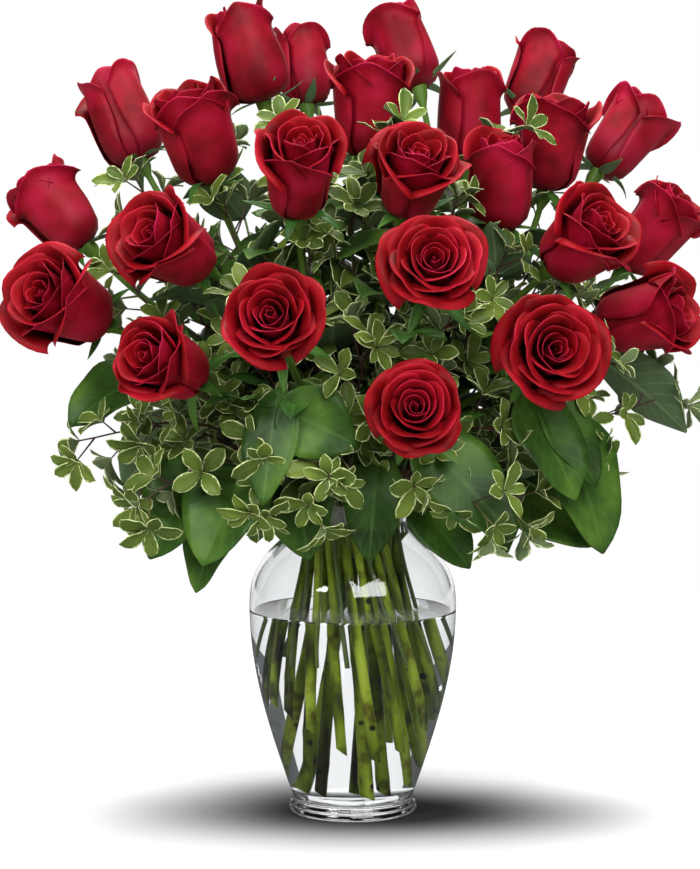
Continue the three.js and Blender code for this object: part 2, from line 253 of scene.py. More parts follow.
rise = neck[1] - belly[1]
share = np.linspace(0, 1, body_steps)
outside = np.concatenate([
    np.stack([waist[0] + (belly[0] - waist[0]) * np.sin(share * math.pi / 2),
              waist[1] + (belly[1] - waist[1]) * share], 1),
    bezier([belly, (belly[0], belly[1] + 0.63 * rise),
            (neck[0] + 0.007, belly[1] + 0.77 * rise), neck], 18),
    bezier([neck, (neck[0], neck[1] + lip_height / 2),
            (neck[0] + lip_flare, vase_height - glass_wall / 2)], 9)])
inside = inset(outside, glass_wall)
rim_middle = (outside[-1] + inside[-1]) / 2
rim_across = outside[-1] - inside[-1]
rim_up = np.array([-rim_across[1], rim_across[0]])
rim = [rim_middle + rim_across / 2 * math.cos(a) + rim_up / 2 * math.sin(a)
       for a in np.linspace(0, math.pi, 9)[1:-1]]
foot = np.array([
    (0, 0.0014), (0.034, 0.0014), (0.0385, 0.0004), (0.0405, 0), (0.0452, 0), (0.0467, 0.0006),
    (0.0473, 0.0018), (0.0472, 0.0032), (0.0467, 0.0041), (0.0464, 0.0045), (0.0464, 0.0048),
    (0.0467, 0.0055), (0.0466, 0.0066), (0.0459, 0.0076), (0.0450, 0.0087), (0.0446, 0.0101),
])
inner_floor = np.array([(inside[1][0] - 0.0005, inside[1][1] - 0.001),
                        (inside[0][0] - 0.0015, glass_base + 0.0016),
                        (inside[0][0] - 0.0045, glass_base + 0.0004), (0.03, glass_base), (0, glass_base)])
vase = spun("clear_vase", np.concatenate([foot, outside, rim, inside[1:][::-1], inner_floor]))


def bore_at(height):
    """The glass's inner radius at a height up to the belly."""
    return float(np.interp(height, inside[:body_steps, 1], inside[:body_steps, 0]))


pale_blue, clear = (0.968, 0.978, 0.985), {"IOR": 1.5, "Transmission_Weight": 1.0}
no_gleam = {"Specular_IOR_Level": 0.0, "Specular_Tint": (0, 0, 0, 1)}
vase.data.materials.append(principled("clear_glass", pale_blue, 0.0, **clear)[0])
vase.data.materials.append(principled("wet_glass", pale_blue, 0.0, **clear, **no_gleam)[0])
water_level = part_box("water")[1][2]
for face in vase.data.polygons:
    height, out = face.center.z, face.center.xy.length
    if glass_base - 0.0005 < height < water_level and out < bore_at(height) + glass_wall / 3:
        face.material_index = 1
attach(vase, "root")
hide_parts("vase")

# -------------------------------------------- water
# Water fills the glass to just under its shoulder, and climbs the glass a little at its edge.
# It reaches a hair into the glass, so that no air shows between the two.

film = 0.0002
wet = inset(outside, glass_wall - film)
wet = wet[(wet[:, 1] > glass_base + 0.003) & (wet[:, 1] < water_level - 0.001)]
edge = bore_at(water_level) + film
water = spun("water_in_vase", np.concatenate([
    [(0, glass_base - film), (inside[0][0] - 0.0045, glass_base + 0.0002),
     (inside[0][0] - 0.0012, glass_base + 0.0014)],
    wet,
    [(edge, water_level + 0.0005), (edge - 0.0004, water_level + 0.0002), (edge - 0.0012, water_level),
     (0, water_level)],
]))
water.data.materials.append(principled("clear_water", (1.0, 1.0, 1.0), 0.0, IOR=1.33,
                                       Transmission_Weight=1.0, **no_gleam)[0])
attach(water, "root")
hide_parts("water")

# -------------------------------------------- rose stems
# Each rose's stem runs from a slanting cut in the water, through the neck, to the calyx under its
# bloom. It is green and woody, thicker below, swollen at its joints and scarred where thorns were.
# It is a round bar along the middle of its CAD stem.


def corners(node):
    """A node's vertex positions as an array."""
    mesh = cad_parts[node].data
    points = np.empty(len(mesh.vertices) * 3)
    mesh.vertices.foreach_get("co", points)
    return points.reshape(-1, 3)


def edge_ends(node):
    """Both end positions of each of a node's edges."""
    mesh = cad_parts[node].data
    ends = np.empty(len(mesh.edges) * 2, int)
    mesh.edges.foreach_get("vertices", ends)
    return corners(node)[ends.reshape(-1, 2)]


def unit(vector):
    vector = np.asarray(vector, float)
    return vector / np.linalg.norm(vector, axis=-1, keepdims=True)


def bloom_frame(number):
    """Where a bloom's base is, which way it faces, its length and its width, from its solid."""
    points = corners(f"rose_{number:02d}_bloom")
    places, counts = np.unique(points.round(5), axis=0, return_counts=True)
    poles = places[np.argsort(counts)[-2:]]
    stalk = corners(f"rose_{number:02d}_stem")
    nearness = [np.linalg.norm(stalk - pole, axis=1).min() for pole in poles]
    base, tip = poles if nearness[0] < nearness[1] else poles[::-1]
    axis = unit(tip - base)
    out = (points - base) - ((points - base) @ axis)[:, None] * axis
    return {"base": base, "axis": axis, "length": np.linalg.norm(tip - base),
            "width": 2 * np.linalg.norm(out, axis=1).max()}


def stem_line(number, top):
    """Points along the middle of a stem, from its foot to the base of its bloom."""
    name = f"rose_{number:02d}_stem"
    points = corners(name)
    foot_end = points[points[:, 2] < points[:, 2].min() + 0.003].mean(axis=0)
    chord = unit(top - foot_end)
    span = (top - foot_end) @ chord
    ends = edge_ends(name)
    along = (ends - foot_end) @ chord
    line = [foot_end]
    for share in np.linspace(0.06, 0.93, 13):
        cut = share * span
        crossing = (along[:, 0] - cut) * (along[:, 1] - cut) < 0
        a, b = ends[crossing, 0], ends[crossing, 1]
        t = (cut - along[crossing, 0]) / (along[crossing, 1] - along[crossing, 0])
        loop = a + (b - a) * t[:, None]
        line.append((loop.max(axis=0) + loop.min(axis=0)) / 2)
    return np.array([*line, top])


def smooth_line(points, count):
    """A Catmull-Rom curve through points, at even steps of its length."""
    p = np.vstack([2 * points[0] - points[1], points, 2 * points[-1] - points[-2]])
    fine = []
    for i in range(1, len(p) - 2):
        t = np.linspace(0, 1, 12, endpoint=False)[:, None]
        a, b, c, d = p[i - 1], p[i], p[i + 1], p[i + 2]
        fine.append(0.5 * (2 * b + (c - a) * t + (2 * a - 5 * b + 4 * c - d) * t ** 2
                           + (3 * b - a - 3 * c + d) * t ** 3))
    fine = np.vstack([*fine, p[-2:-1]])
    length = np.concatenate([[0], np.cumsum(np.linalg.norm(np.diff(fine, axis=0), axis=1))])
    even = np.linspace(0, length[-1], count)
    return np.stack([np.interp(even, length, fine[:, k]) for k in range(3)], 1)


def sheets(name, count, across, along):
    """Flat grids in one mesh, one for each leaf, petal or tube; each is shaped afterwards."""
    bpy.ops.object.select_all(action="DESELECT")
    bpy.ops.mesh.primitive_grid_add(x_subdivisions=across, y_subdivisions=along, size=0.02)
    piece = bpy.context.object
    piece.name = name
    if count > 1:
        repeat = piece.modifiers.new("repeat", "ARRAY")
        repeat.count = count
        repeat.use_relative_offset = False
        repeat.use_constant_offset = True
        repeat.constant_offset_displace = (0, 0, 0.01)
        bpy.ops.object.modifier_apply(modifier="repeat")
    return piece


def shape(piece, points):
    """Moves a piece's vertices to points, listed sheet by sheet, row by row."""
    piece.data.vertices.foreach_set("co", np.ascontiguousarray(points, float).ravel())
    piece.data.update()


def thicken(piece, thickness, materials):
    """Gives sheets a thickness on their inner side; the inner side takes the second material."""
    for material in materials:
        piece.data.materials.append(material)
    solid = piece.modifiers.new("thickness", "SOLIDIFY")
    solid.thickness = thickness
    solid.offset = -1
    solid.material_offset = len(materials) - 1
    bpy.ops.object.modifier_apply(modifier="thickness")
    bpy.ops.object.shade_smooth()


def rings_round(line, sides, across):
    """Rings of radius 1, square to a line, that don't twist along it; also the turn of each corner."""
    turn = np.linspace(0, 2 * math.pi, sides + 1)
    turn[-1] = 0
    ahead = unit(np.gradient(line, axis=0))
    side, rings = np.cross(ahead[0], across), []
    for direction in ahead:
        side = unit(side - (side @ direction) * direction)
        rings.append(np.cos(turn)[:, None] * side + np.sin(turn)[:, None] * np.cross(direction, side))
    return rings, turn[:, None]


def tube(name, line, radii, sides, slant, bumps):
    """A closed round bar along a line, with bumps; its first end is cut slanting."""
    piece = sheets(name, 1, sides, len(line) - 1)
    rings, turn = rings_round(line, sides, (0.3, 0.9, 0.2))
    for i, bump_here in enumerate(bumps):
        rings[i] = line[i] + radii[i] * (1 + bump_here * (0.6 + 0.4 * np.cos(turn - i))) * rings[i]
    rings[0] = rings[0] + unit(line[1] - line[0]) * (np.cos(turn) + 1) / 2 * slant
    shape(piece, np.array(rings))
    weld(1e-7, fill_ends=True)
    bpy.ops.object.shade_smooth_by_angle(angle=math.radians(50))
    return piece


def ramp(material, source, stops):
    """A colour ramp fed by a value; stops are (position, colour)."""
    node = material.node_tree.nodes.new("ShaderNodeValToRGB")
    elements = node.color_ramp.elements
    while len(elements) < len(stops):
        elements.new(0.5)
    for element, (position, colour) in zip(elements, stops):
        element.position = position
        element.color = (*colour, 1)
    link(material, source, node.inputs["Fac"])
    return node.outputs["Color"]


def mixed(material, factor, first, second, blend="MIX"):
    """Two colours mixed; each is a socket or a plain colour, and so is the factor."""
    node = material.node_tree.nodes.new("ShaderNodeMix")
    node.data_type = "RGBA"
    node.blend_type = blend
    for socket, value in ((node.inputs[0], factor), (node.inputs[6], first), (node.inputs[7], second)):
        link(material, (*value, 1) if isinstance(value, tuple) else value, socket)
    return node.outputs[2]


def noise(material, vector, scale, detail):
    node = add(material, "ShaderNodeTexNoise", Scale=scale, Detail=detail)
    link(material, vector, node.inputs["Vector"])
    return node.outputs["Fac"]


def stretched(material, vector, scale):
    node = add(material, "ShaderNodeMapping", Scale=scale)
    link(material, vector, node.inputs["Vector"])
    return node.outputs["Vector"]


def part_of(material, vector, letter):
    """One of a vector's three values."""
    node = add(material, "ShaderNodeSeparateXYZ")
    link(material, vector, node.inputs["Vector"])
    return node.outputs[letter]


def bump(material, shader, height, strength, distance):
    """Small relief on a shader's surface."""
    node = add(material, "ShaderNodeBump", Strength=strength, Distance=distance)
    link(material, height, node.inputs["Height"])
    link(material, node.outputs["Normal"], shader.inputs["Normal"])


stem_green, shader = principled("stem_green", (0.16, 0.25, 0.04), 0.34, Specular_IOR_Level=0.1)
where = object_place(stem_green)
streaks = noise(stem_green, stretched(stem_green, where, (1, 1, 0.1)), 75.0, 1.0)
skin = ramp(stem_green, streaks, [(0.36, (0.035, 0.032, 0.006)), (0.45, (0.14, 0.21, 0.012)),
                                  (0.54, (0.33, 0.47, 0.025)), (0.66, (0.50, 0.64, 0.06))])
mottle = noise(stem_green, where, 60.0, 4.0)
bruises = ramp(stem_green, mottle, [(0.36, (0.40, 0.30, 0.30)), (0.48, (1, 1, 1))])
skin = mixed(stem_green, 1.0, skin, bruises, "MULTIPLY")
cells = add(stem_green, "ShaderNodeTexVoronoi", Scale=52.0)
link(stem_green, where, cells.inputs["Vector"])
scars = ramp(stem_green, cells.outputs["Distance"], [(0.09, (1, 1, 1)), (0.15, (0, 0, 0))])
skin = mixed(stem_green, scars, skin, (0.028, 0.018, 0.008))
upper = ramp(stem_green, part_of(stem_green, where, "Z"), [(0.17, (0, 0, 0)), (0.25, (1, 1, 1))])
link(stem_green, mixed(stem_green, upper, skin, (0.075, 0.145, 0.022)), shader.inputs["Base Color"])
bump(stem_green, shader, mottle, 0.3, 0.001)

blooms = {number: bloom_frame(number) for number in range(1, 25)}
stem_rings, stem_sides = 60, 12
stem_foot_radius = 0.0036
stem_top_radius = 0.0023
joint_spacing, joint_length, joint_swelling = 0.055, 0.0035, 0.22
calyx_length, calyx_swelling = 0.016, 0.0047
stem_lines = {}
draw = random.Random(11)
for number, flower in blooms.items():
    line = smooth_line(stem_line(number, flower["base"]), stem_rings)
    stem_lines[number] = line
    length = np.linalg.norm(np.diff(line, axis=0), axis=1).sum()
    distance = np.linspace(0, length, stem_rings)
    radii = stem_foot_radius + (stem_top_radius - stem_foot_radius) * (distance / length) ** 1.2
    first = draw.uniform(0.01, joint_spacing)
    from_joint = (distance - first + joint_spacing / 2) % joint_spacing - joint_spacing / 2
    joints = np.exp(-(from_joint / joint_length) ** 2)
    calyx = np.clip((distance - (length - calyx_length)) / calyx_length, 0, 1)
    radii = radii + calyx_swelling * np.sin(calyx * math.pi * 0.62) ** 1.5
    stalk = tube(f"rose_{number:02d}_stalk", line, radii, stem_sides, draw.uniform(0.003, 0.009),
                 joint_swelling * joints * (1 - calyx))
    stalk.data.materials.append(stem_green)
    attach(stalk, "root")
    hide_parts(f"rose_{number:02d}_stem")

# -------------------------------------------- rose petals
# Red petals wrapped round one another from a tight centre outwards. Each is a thin soft shell,
# narrow where it grows from the calyx, and the outer ones open away and roll back at their rims.


def petal_material(name, painted_root_shade, body, rim, roughness):
    """Velvet red, painted darker at the petal's root as shade and lighter at its rim as a highlight, with
    fine ribs along it.
    """
    material, shader = principled(name, body, roughness, Specular_IOR_Level=0.12, Sheen_Weight=0.06,
                                  Sheen_Roughness=0.4, Sheen_Tint=(1, 0.1, 0.15, 1))
    uv = add(material, "ShaderNodeUVMap").outputs["UV"]
    # Painted shade at the root, the petal's own red in its body, then a painted highlight at the rim.
    along = ramp(material, part_of(material, uv, "Y"),
                 [(0.0, painted_root_shade), (0.45, body), (0.85, body), (1.0, rim)])
    shade = ramp(material, noise(material, object_place(material), 38.0, 2.0),
                 [(0.32, (0.50, 0.45, 0.40)), (0.5, (0.9, 0.9, 0.9)), (0.68, (1.15, 1.6, 2.0))])
    link(material, mixed(material, 1.0, along, shade, "MULTIPLY"), shader.inputs["Base Color"])
    ribs = noise(material, stretched(material, uv, (34, 2.2, 1)), 1.0, 3.0)
    bump(material, shader, ribs, 0.25, 0.0006)
    return material


# Each finish: the painted root shade, the body's own red, the painted rim highlight, and roughness.
petal_back = petal_material("petal_outside", (0.15, 0.004, 0.009), (0.265, 0.003, 0.013),
                            (0.36, 0.005, 0.028), 0.48)
petal_front = petal_material("petal_inside", (0.045, 0.001, 0.006), (0.235, 0.002, 0.005),
                             (0.33, 0.003, 0.009), 0.52)

petal_across = 14
petal_rows = 16


def blend3(t, first, middle, last):
    """A value that goes smoothly from first through middle to last as t goes from 0 to 1."""
    return np.interp(t, [0, 0.5, 1], [first, middle, last])


def petal_points(t, openness, length, width, draw):
    """One petal of a bloom on the Z axis. t is 0 for the innermost and 1 for the outermost."""
    def by_openness(bud, half, full):
        return blend3(openness, bud, half, full)

    belly_radius = width / 2 * (0.07 + by_openness(0.86, 0.80, 0.70) * t ** by_openness(0.8, 0.85, 0.9))
    root_radius = 0.002 + 0.002 * t
    bowl = math.radians(35 + 42 * t)
    bowl_length = max(belly_radius - root_radius, 0.001) / math.sin(bowl)
    top = length * blend3(t, by_openness(0.94, 0.93, 0.84), by_openness(0.99, 0.97, 0.92),
                          by_openness(0.90, 0.80, 0.62)) * draw.uniform(0.95, 1.03)
    lean_low = math.radians(by_openness(6, 12, 22) * t - 4 + draw.uniform(-3, 3))
    lean_high = math.radians(blend3(t, by_openness(-16, -12, -6), by_openness(-14, -2, 14),
                                    by_openness(-8, 10, 34)) + draw.uniform(-4, 4))
    curl = math.radians(blend3(t, by_openness(0, 8, 20), by_openness(18, 50, 75),
                               by_openness(50, 95, 120)) + draw.uniform(-12, 12))
    curl_length = blend3(t, 0.003, 0.009, 0.013) * width / 0.07
    body_length = max(top - bowl_length * math.cos(bowl), 0.01) / math.cos((lean_low + lean_high) / 2)
    spread = blend3(t, 2.3, 1.35, 1.12) * draw.uniform(0.93, 1.07)

    u = np.linspace(-1, 1, petal_across + 1)[None, :]
    bowl_rows, body_rows = 3, 6
    curl_rows = petal_rows - bowl_rows - body_rows
    notch = 0.05 * np.exp(-(u / 0.3) ** 2) * (t < 0.4)
    outline = 1 - by_openness(0.26, 0.3, 0.3) * np.abs(u) ** 2.6 - notch
    outline = (outline + draw.uniform(0, 0.14) * max(t - 0.4, 0)
               * np.exp(-((u - draw.uniform(-0.2, 0.2)) / 0.3) ** 2))
    outline = outline * (1 + 0.02 * np.sin(u * draw.uniform(4, 8) + draw.uniform(0, 6)))
    level = np.ones_like(u)
    steps = np.concatenate([
        np.repeat(bowl_length / bowl_rows, bowl_rows)[:, None] * level,
        np.repeat(body_length / body_rows, body_rows)[:, None] * outline,
        np.repeat(curl_length / curl_rows, curl_rows)[:, None] * level])
    bowl_angles = np.interp(np.linspace(0, 1, bowl_rows), [0, 0.6, 1], [bowl, bowl, bowl * 0.6])
    body_angles = np.linspace(lean_low, lean_high, body_rows)
    roll = curl * (0.35 + 0.95 * np.abs(u) ** 0.9 * (0.3 + 0.7 * t))
    curl_share = np.linspace(0.15, 1, curl_rows)[:, None]
    angles = np.concatenate([bowl_angles[:, None] * level, body_angles[:, None] * level,
                             lean_high + roll * curl_share])
    angles[1:-1] = (angles[:-2] + 2 * angles[1:-1] + angles[2:]) / 4
    radius = root_radius + np.concatenate([0 * u, np.cumsum(np.sin(angles) * steps, axis=0)])
    height = np.concatenate([0 * u, np.cumsum(np.cos(angles) * steps, axis=0)])
    rows = np.linspace(0, 1, petal_rows + 1)[:, None]
    tuck = 0.055 if t > 0.25 else 0.16
    radius = np.maximum(radius, 0.0006) * (1 + tuck * u * np.minimum(rows * 3, 1))
    radius = radius + 0.0007 * (0.3 + t) * rows ** 3 * np.sin(u * draw.uniform(5, 9) + draw.uniform(0, 6))
    turn = u * spread * (0.72 + 0.28 * np.minimum(rows * 2.5, 1))
    return radius, height, turn


def bloom_points(openness, length, width, draw):
    """All petals of a bloom on the Z axis, scaled to its length and width."""
    count = round(blend3(openness, 15, 21, 25))
    petals = []
    around = draw.uniform(0, 2 * math.pi)
    for i in range(count):
        t = i / (count - 1)
        around += math.radians(137.5 + draw.uniform(-9, 9))
        radius, height, turn = petal_points(t, openness, length, width, draw)
        turn = around + turn
        petals.append(np.stack([radius * np.cos(turn), radius * np.sin(turn), height], -1))
    points = np.array(petals)
    reach = np.linalg.norm(points[..., :2], axis=-1).max()
    points[..., :2] *= width / 2 / reach
    points[..., 2] *= length / points[..., 2].max()
    return points


def turned_to(points, base, axis, roll):
    """Points from a piece built on the Z axis, moved to a base and turned to an axis."""
    turn = Vector((0, 0, 1)).rotation_difference(Vector(axis)).to_matrix() @ Matrix.Rotation(roll, 3, "Z")
    return points @ np.array(turn).T + base


petal_thickness = 0.0004
fullness = 1.07
bloom_openness = {
    1: 0.0, 2: 0.05, 3: 0.15, 4: 0.12, 5: 0.42, 6: 0.4, 7: 0.12, 8: 0.2, 9: 0.5, 10: 0.72, 11: 0.1,
    12: 0.45, 13: 0.45, 14: 0.4, 15: 0.6, 16: 0.65, 17: 0.6, 18: 0.7, 19: 0.85, 20: 0.6, 21: 0.4,
    22: 0.5, 23: 0.95, 24: 0.9}
for number, flower in blooms.items():
    draw = random.Random(100 + number)
    length, width = flower["length"] * fullness, flower["width"] * fullness
    points = bloom_points(bloom_openness[number], length, width, draw)
    petals = sheets(f"rose_{number:02d}_petals", len(points), petal_across, petal_rows)
    settled = flower["base"] - flower["axis"] * flower["length"] * (fullness - 1) / 2
    shape(petals, turned_to(points, settled, flower["axis"], draw.uniform(0, 6)))
    thicken(petals, petal_thickness, [petal_back, petal_front])
    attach(petals, "root")
    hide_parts(f"rose_{number:02d}_bloom")

# -------------------------------------------- leaves: shapes and finishes
# Leaf blades are thin sheets with a midrib, bent along it and folded a little across it.
# Salal is dark, broad and glossy; pittosporum is small, grey-green and edged with cream;
# rose leaves are dull green. Each grows from a round twig.

leaf_thickness = 0.0003


def blade(length, width, widest, droop, fold, wave, rows, columns, draw):
    """A leaf along +X with its face up: droop bends it down, fold lifts its sides."""
    v = np.linspace(0.0, 1, rows + 1)[:, None]
    u = np.linspace(-1, 1, columns + 1)[None, :]
    taper = 0.62 if widest < 0.5 else 1.25
    tip_taper = taper * (1 - widest) / widest
    outline = v ** taper * (1 - v) ** tip_taper / (widest ** taper * (1 - widest) ** tip_taper)
    half = width / 2 * np.maximum(outline, 0.035)
    bend = droop * (v - 0.25)
    step = length / rows
    x = np.cumsum(np.cos(bend), axis=0) * step - step
    z = -np.cumsum(np.sin(bend), axis=0) * step
    phase = draw.uniform(0, 6)
    lift = np.abs(u) * half * math.sin(fold)
    lift = lift + wave * width * u ** 2 * np.sin(v * draw.uniform(9, 13) + phase + u) * (outline > 0.1)
    across = -u * half * math.cos(fold)
    return np.stack([x + lift * np.sin(bend), across, z + lift * np.cos(bend)], -1)


def placed(points, start, direction, face):
    """A blade put with its stalk end at start, along a direction, its face turned to face."""
    d = unit(direction)
    n = unit(np.asarray(face, float) - (np.asarray(face, float) @ d) * d)
    return points @ np.array([d, np.cross(n, d), n]) + start


def sideways(ahead, across, around):
    """A direction square to ahead, at an angle round it from the side that across gives."""
    side = unit(np.cross(ahead, across))
    return side * math.cos(around) + np.cross(ahead, side) * math.sin(around)


def leaf_material(name, stops, vein_colour, vein_strength, roughness, coat, edge_colour=None,
                  edge_from=1):
    """stops colour the blade by a slow noise; the margin beyond edge_from takes the edge colour."""
    material, shader = principled(name, stops[0][1], roughness, Specular_IOR_Level=0.13,
                                  Coat_Weight=coat, Coat_Roughness=0.25)
    where = object_place(material)
    colour = ramp(material, noise(material, where, 24.0, 3.0), stops)
    uv = add(material, "ShaderNodeUVMap").outputs["UV"]
    from_left = part_of(material, uv, "X")
    across = maths(material, "ABSOLUTE", maths(material, "MULTIPLY_ADD", from_left, 2.0, -1.0))
    midrib = ramp(material, across, [(0.03, (1, 1, 1)), (0.09, (0, 0, 0))])
    slanting = maths(material, "MULTIPLY_ADD", across, -0.28, part_of(material, uv, "Y"))
    wave = maths(material, "SINE", maths(material, "MULTIPLY", slanting, 50.0))
    side_veins = ramp(material, wave, [(0.90, (0, 0, 0)), (0.99, (0.6, 0.6, 0.6))])
    veins = mixed(material, 1.0, midrib, side_veins, "LIGHTEN")
    colour = mixed(material, maths(material, "MULTIPLY", veins, vein_strength), colour, vein_colour)
    if edge_colour:
        ragged = maths(material, "MULTIPLY_ADD", noise(material, where, 260.0, 2.0), 0.4,
                       maths(material, "MULTIPLY", across, 0.8))
        margin = ramp(material, ragged, [(edge_from, (0, 0, 0)), (edge_from + 0.07, (1, 1, 1))])
        colour = mixed(material, margin, colour, edge_colour)
    link(material, colour, shader.inputs["Base Color"])
    bump(material, shader, veins, -0.35, 0.0006)
    return material


salal_face = leaf_material(
    "salal_face",
    [(0.3, (0.012, 0.027, 0.005)), (0.5, (0.030, 0.076, 0.010)), (0.7, (0.080, 0.160, 0.020))],
    (0.11, 0.25, 0.05), 0.2, 0.42, 0.02)
salal_back = leaf_material(
    "salal_back", [(0.3, (0.05, 0.09, 0.04)), (0.7, (0.11, 0.17, 0.075))],
    (0.2, 0.28, 0.12), 0.5, 0.55, 0.0)
pittosporum_face = leaf_material(
    "pittosporum_face",
    [(0.3, (0.034, 0.060, 0.010)), (0.5, (0.080, 0.125, 0.018)), (0.7, (0.16, 0.22, 0.032))],
    (0.16, 0.26, 0.07), 0.2, 0.4, 0.05, edge_colour=(0.56, 0.63, 0.29), edge_from=0.87)
pittosporum_back = leaf_material(
    "pittosporum_back", [(0.3, (0.09, 0.13, 0.055)), (0.7, (0.16, 0.21, 0.09))],
    (0.2, 0.26, 0.12), 0.3, 0.55, 0.0, edge_colour=(0.5, 0.55, 0.30), edge_from=0.84)
rose_leaf_face = leaf_material(
    "rose_leaf_face",
    [(0.3, (0.014, 0.050, 0.008)), (0.5, (0.035, 0.105, 0.014)), (0.7, (0.080, 0.18, 0.024))],
    (0.12, 0.22, 0.06), 0.4, 0.45, 0.1)
bark, young_bark = (0.055, 0.018, 0.014), (0.16, 0.22, 0.02)
twig_brown, shader = principled("twig_brown", bark, 0.55)
height = part_of(twig_brown, object_place(twig_brown), "Z")
link(twig_brown, ramp(twig_brown, height, [(0.20, young_bark), (0.25, bark)]), shader.inputs["Base Color"])
twig_green = principled("twig_green", (0.10, 0.16, 0.03), 0.5)[0]


def tubes(name, lines, radii, sides, material):
    """Thin round twigs in one mesh, closed at both ends; lines all have the same number of points."""
    lines = np.asarray(lines, float)
    count, steps = lines.shape[:2]
    piece = sheets(name, count, sides, steps + 1)
    rings = np.empty((count, steps + 2, sides + 1, 3))
    for k, line in enumerate(lines):
        upright = abs(unit(line[1] - line[0])[2]) >= 0.9
        unit_rings, _ = rings_round(line, sides, (0.9, 0.3, 0.1) if upright else (0.31, 0.17, 0.93))
        rings[k, 1:-1] = line[:, None] + radii[k][:, None, None] * unit_rings
        rings[k, 0] = line[0]
        rings[k, -1] = line[-1]
    shape(piece, rings)
    weld(1e-7)
    bpy.ops.object.shade_smooth()
    piece.data.materials.append(material)
    return piece


def leaf_piece(name, blades, materials):
    """All the blades of a spray in one mesh; the blades share one number of rows and columns."""
    blades = np.array(blades)
    piece = sheets(name, len(blades), blades.shape[2] - 1, blades.shape[1] - 1)
    shape(piece, blades)
    thicken(piece, leaf_thickness, materials)
    return piece


bloom_middles = np.array([f["base"] + f["axis"] * f["length"] / 2 for f in blooms.values()])
bloom_axes = np.array([f["axis"] for f in blooms.values()])
bloom_halves = np.array([(f["width"] / 2, f["length"] / 2) for f in blooms.values()])


def inside_bloom(point):
    """Whether a point is 2 mm or more inside any bloom, each taken as an egg shape."""
    offset = point - bloom_middles
    along = (offset * bloom_axes).sum(axis=1)
    out = np.linalg.norm(offset - along[:, None] * bloom_axes, axis=1)
    reach = (out / (bloom_halves[:, 0] - 0.002)) ** 2 + (along / (bloom_halves[:, 1] - 0.002)) ** 2
    return bool((reach < 1).any())


def clear_of_all(points):
    """Whether a blade keeps out of the blooms and out of the glass."""
    probes = points.reshape(-1, 3)[::3]
    if any(inside_bloom(p) for p in probes):
        return False
    shoulder = 0.055 + 0.6 * np.clip(0.205 - probes[:, 2], 0, 0.04)
    low = probes[:, 2] < vase_height + 0.004
    return not (low & (np.hypot(probes[:, 0], probes[:, 1]) < shoulder)).any()


# -------------------------------------------- salal sprays
# Green stems that leave the neck and arch over the lip, with broad glossy leaves that hang in a
# collar round the mouth. Each leaf joins its stem by a short curved stalk.

spray_ring = 0.0333
crest_radius = 0.058
crest_height = vase_height + 0.018
foot_height = 0.19
leaf_stalk_radius, leaf_stalk_bow = 0.0009, 0.008


def polar(turn, radius, height):
    """A place at a turn in degrees, a distance from the vase's middle and a height."""
    return np.array([radius * math.cos(math.radians(turn)), radius * math.sin(math.radians(turn)), height])


def spray_line(node, turn, tip_turn, reach, height, count):
    """The middle of a spray's stem: up through the neck, over the lip and out to its tip."""
    tip = polar(tip_turn, reach, height)
    crest = polar(tip_turn, crest_radius, crest_height)
    points = [polar(turn, spray_ring - 0.004, foot_height)]
    if node:
        mesh_points = corners(node)
        points = [mesh_points[mesh_points[:, 2] < mesh_points[:, 2].min() + 0.002].mean(axis=0)]
    points += [polar(turn, spray_ring, 0.214), crest]
    arch = 0.14 * (reach - crest_radius)
    points += [(crest + tip) / 2 + np.array([0, 0, arch]), tip]
    return smooth_line(np.array(points), count)


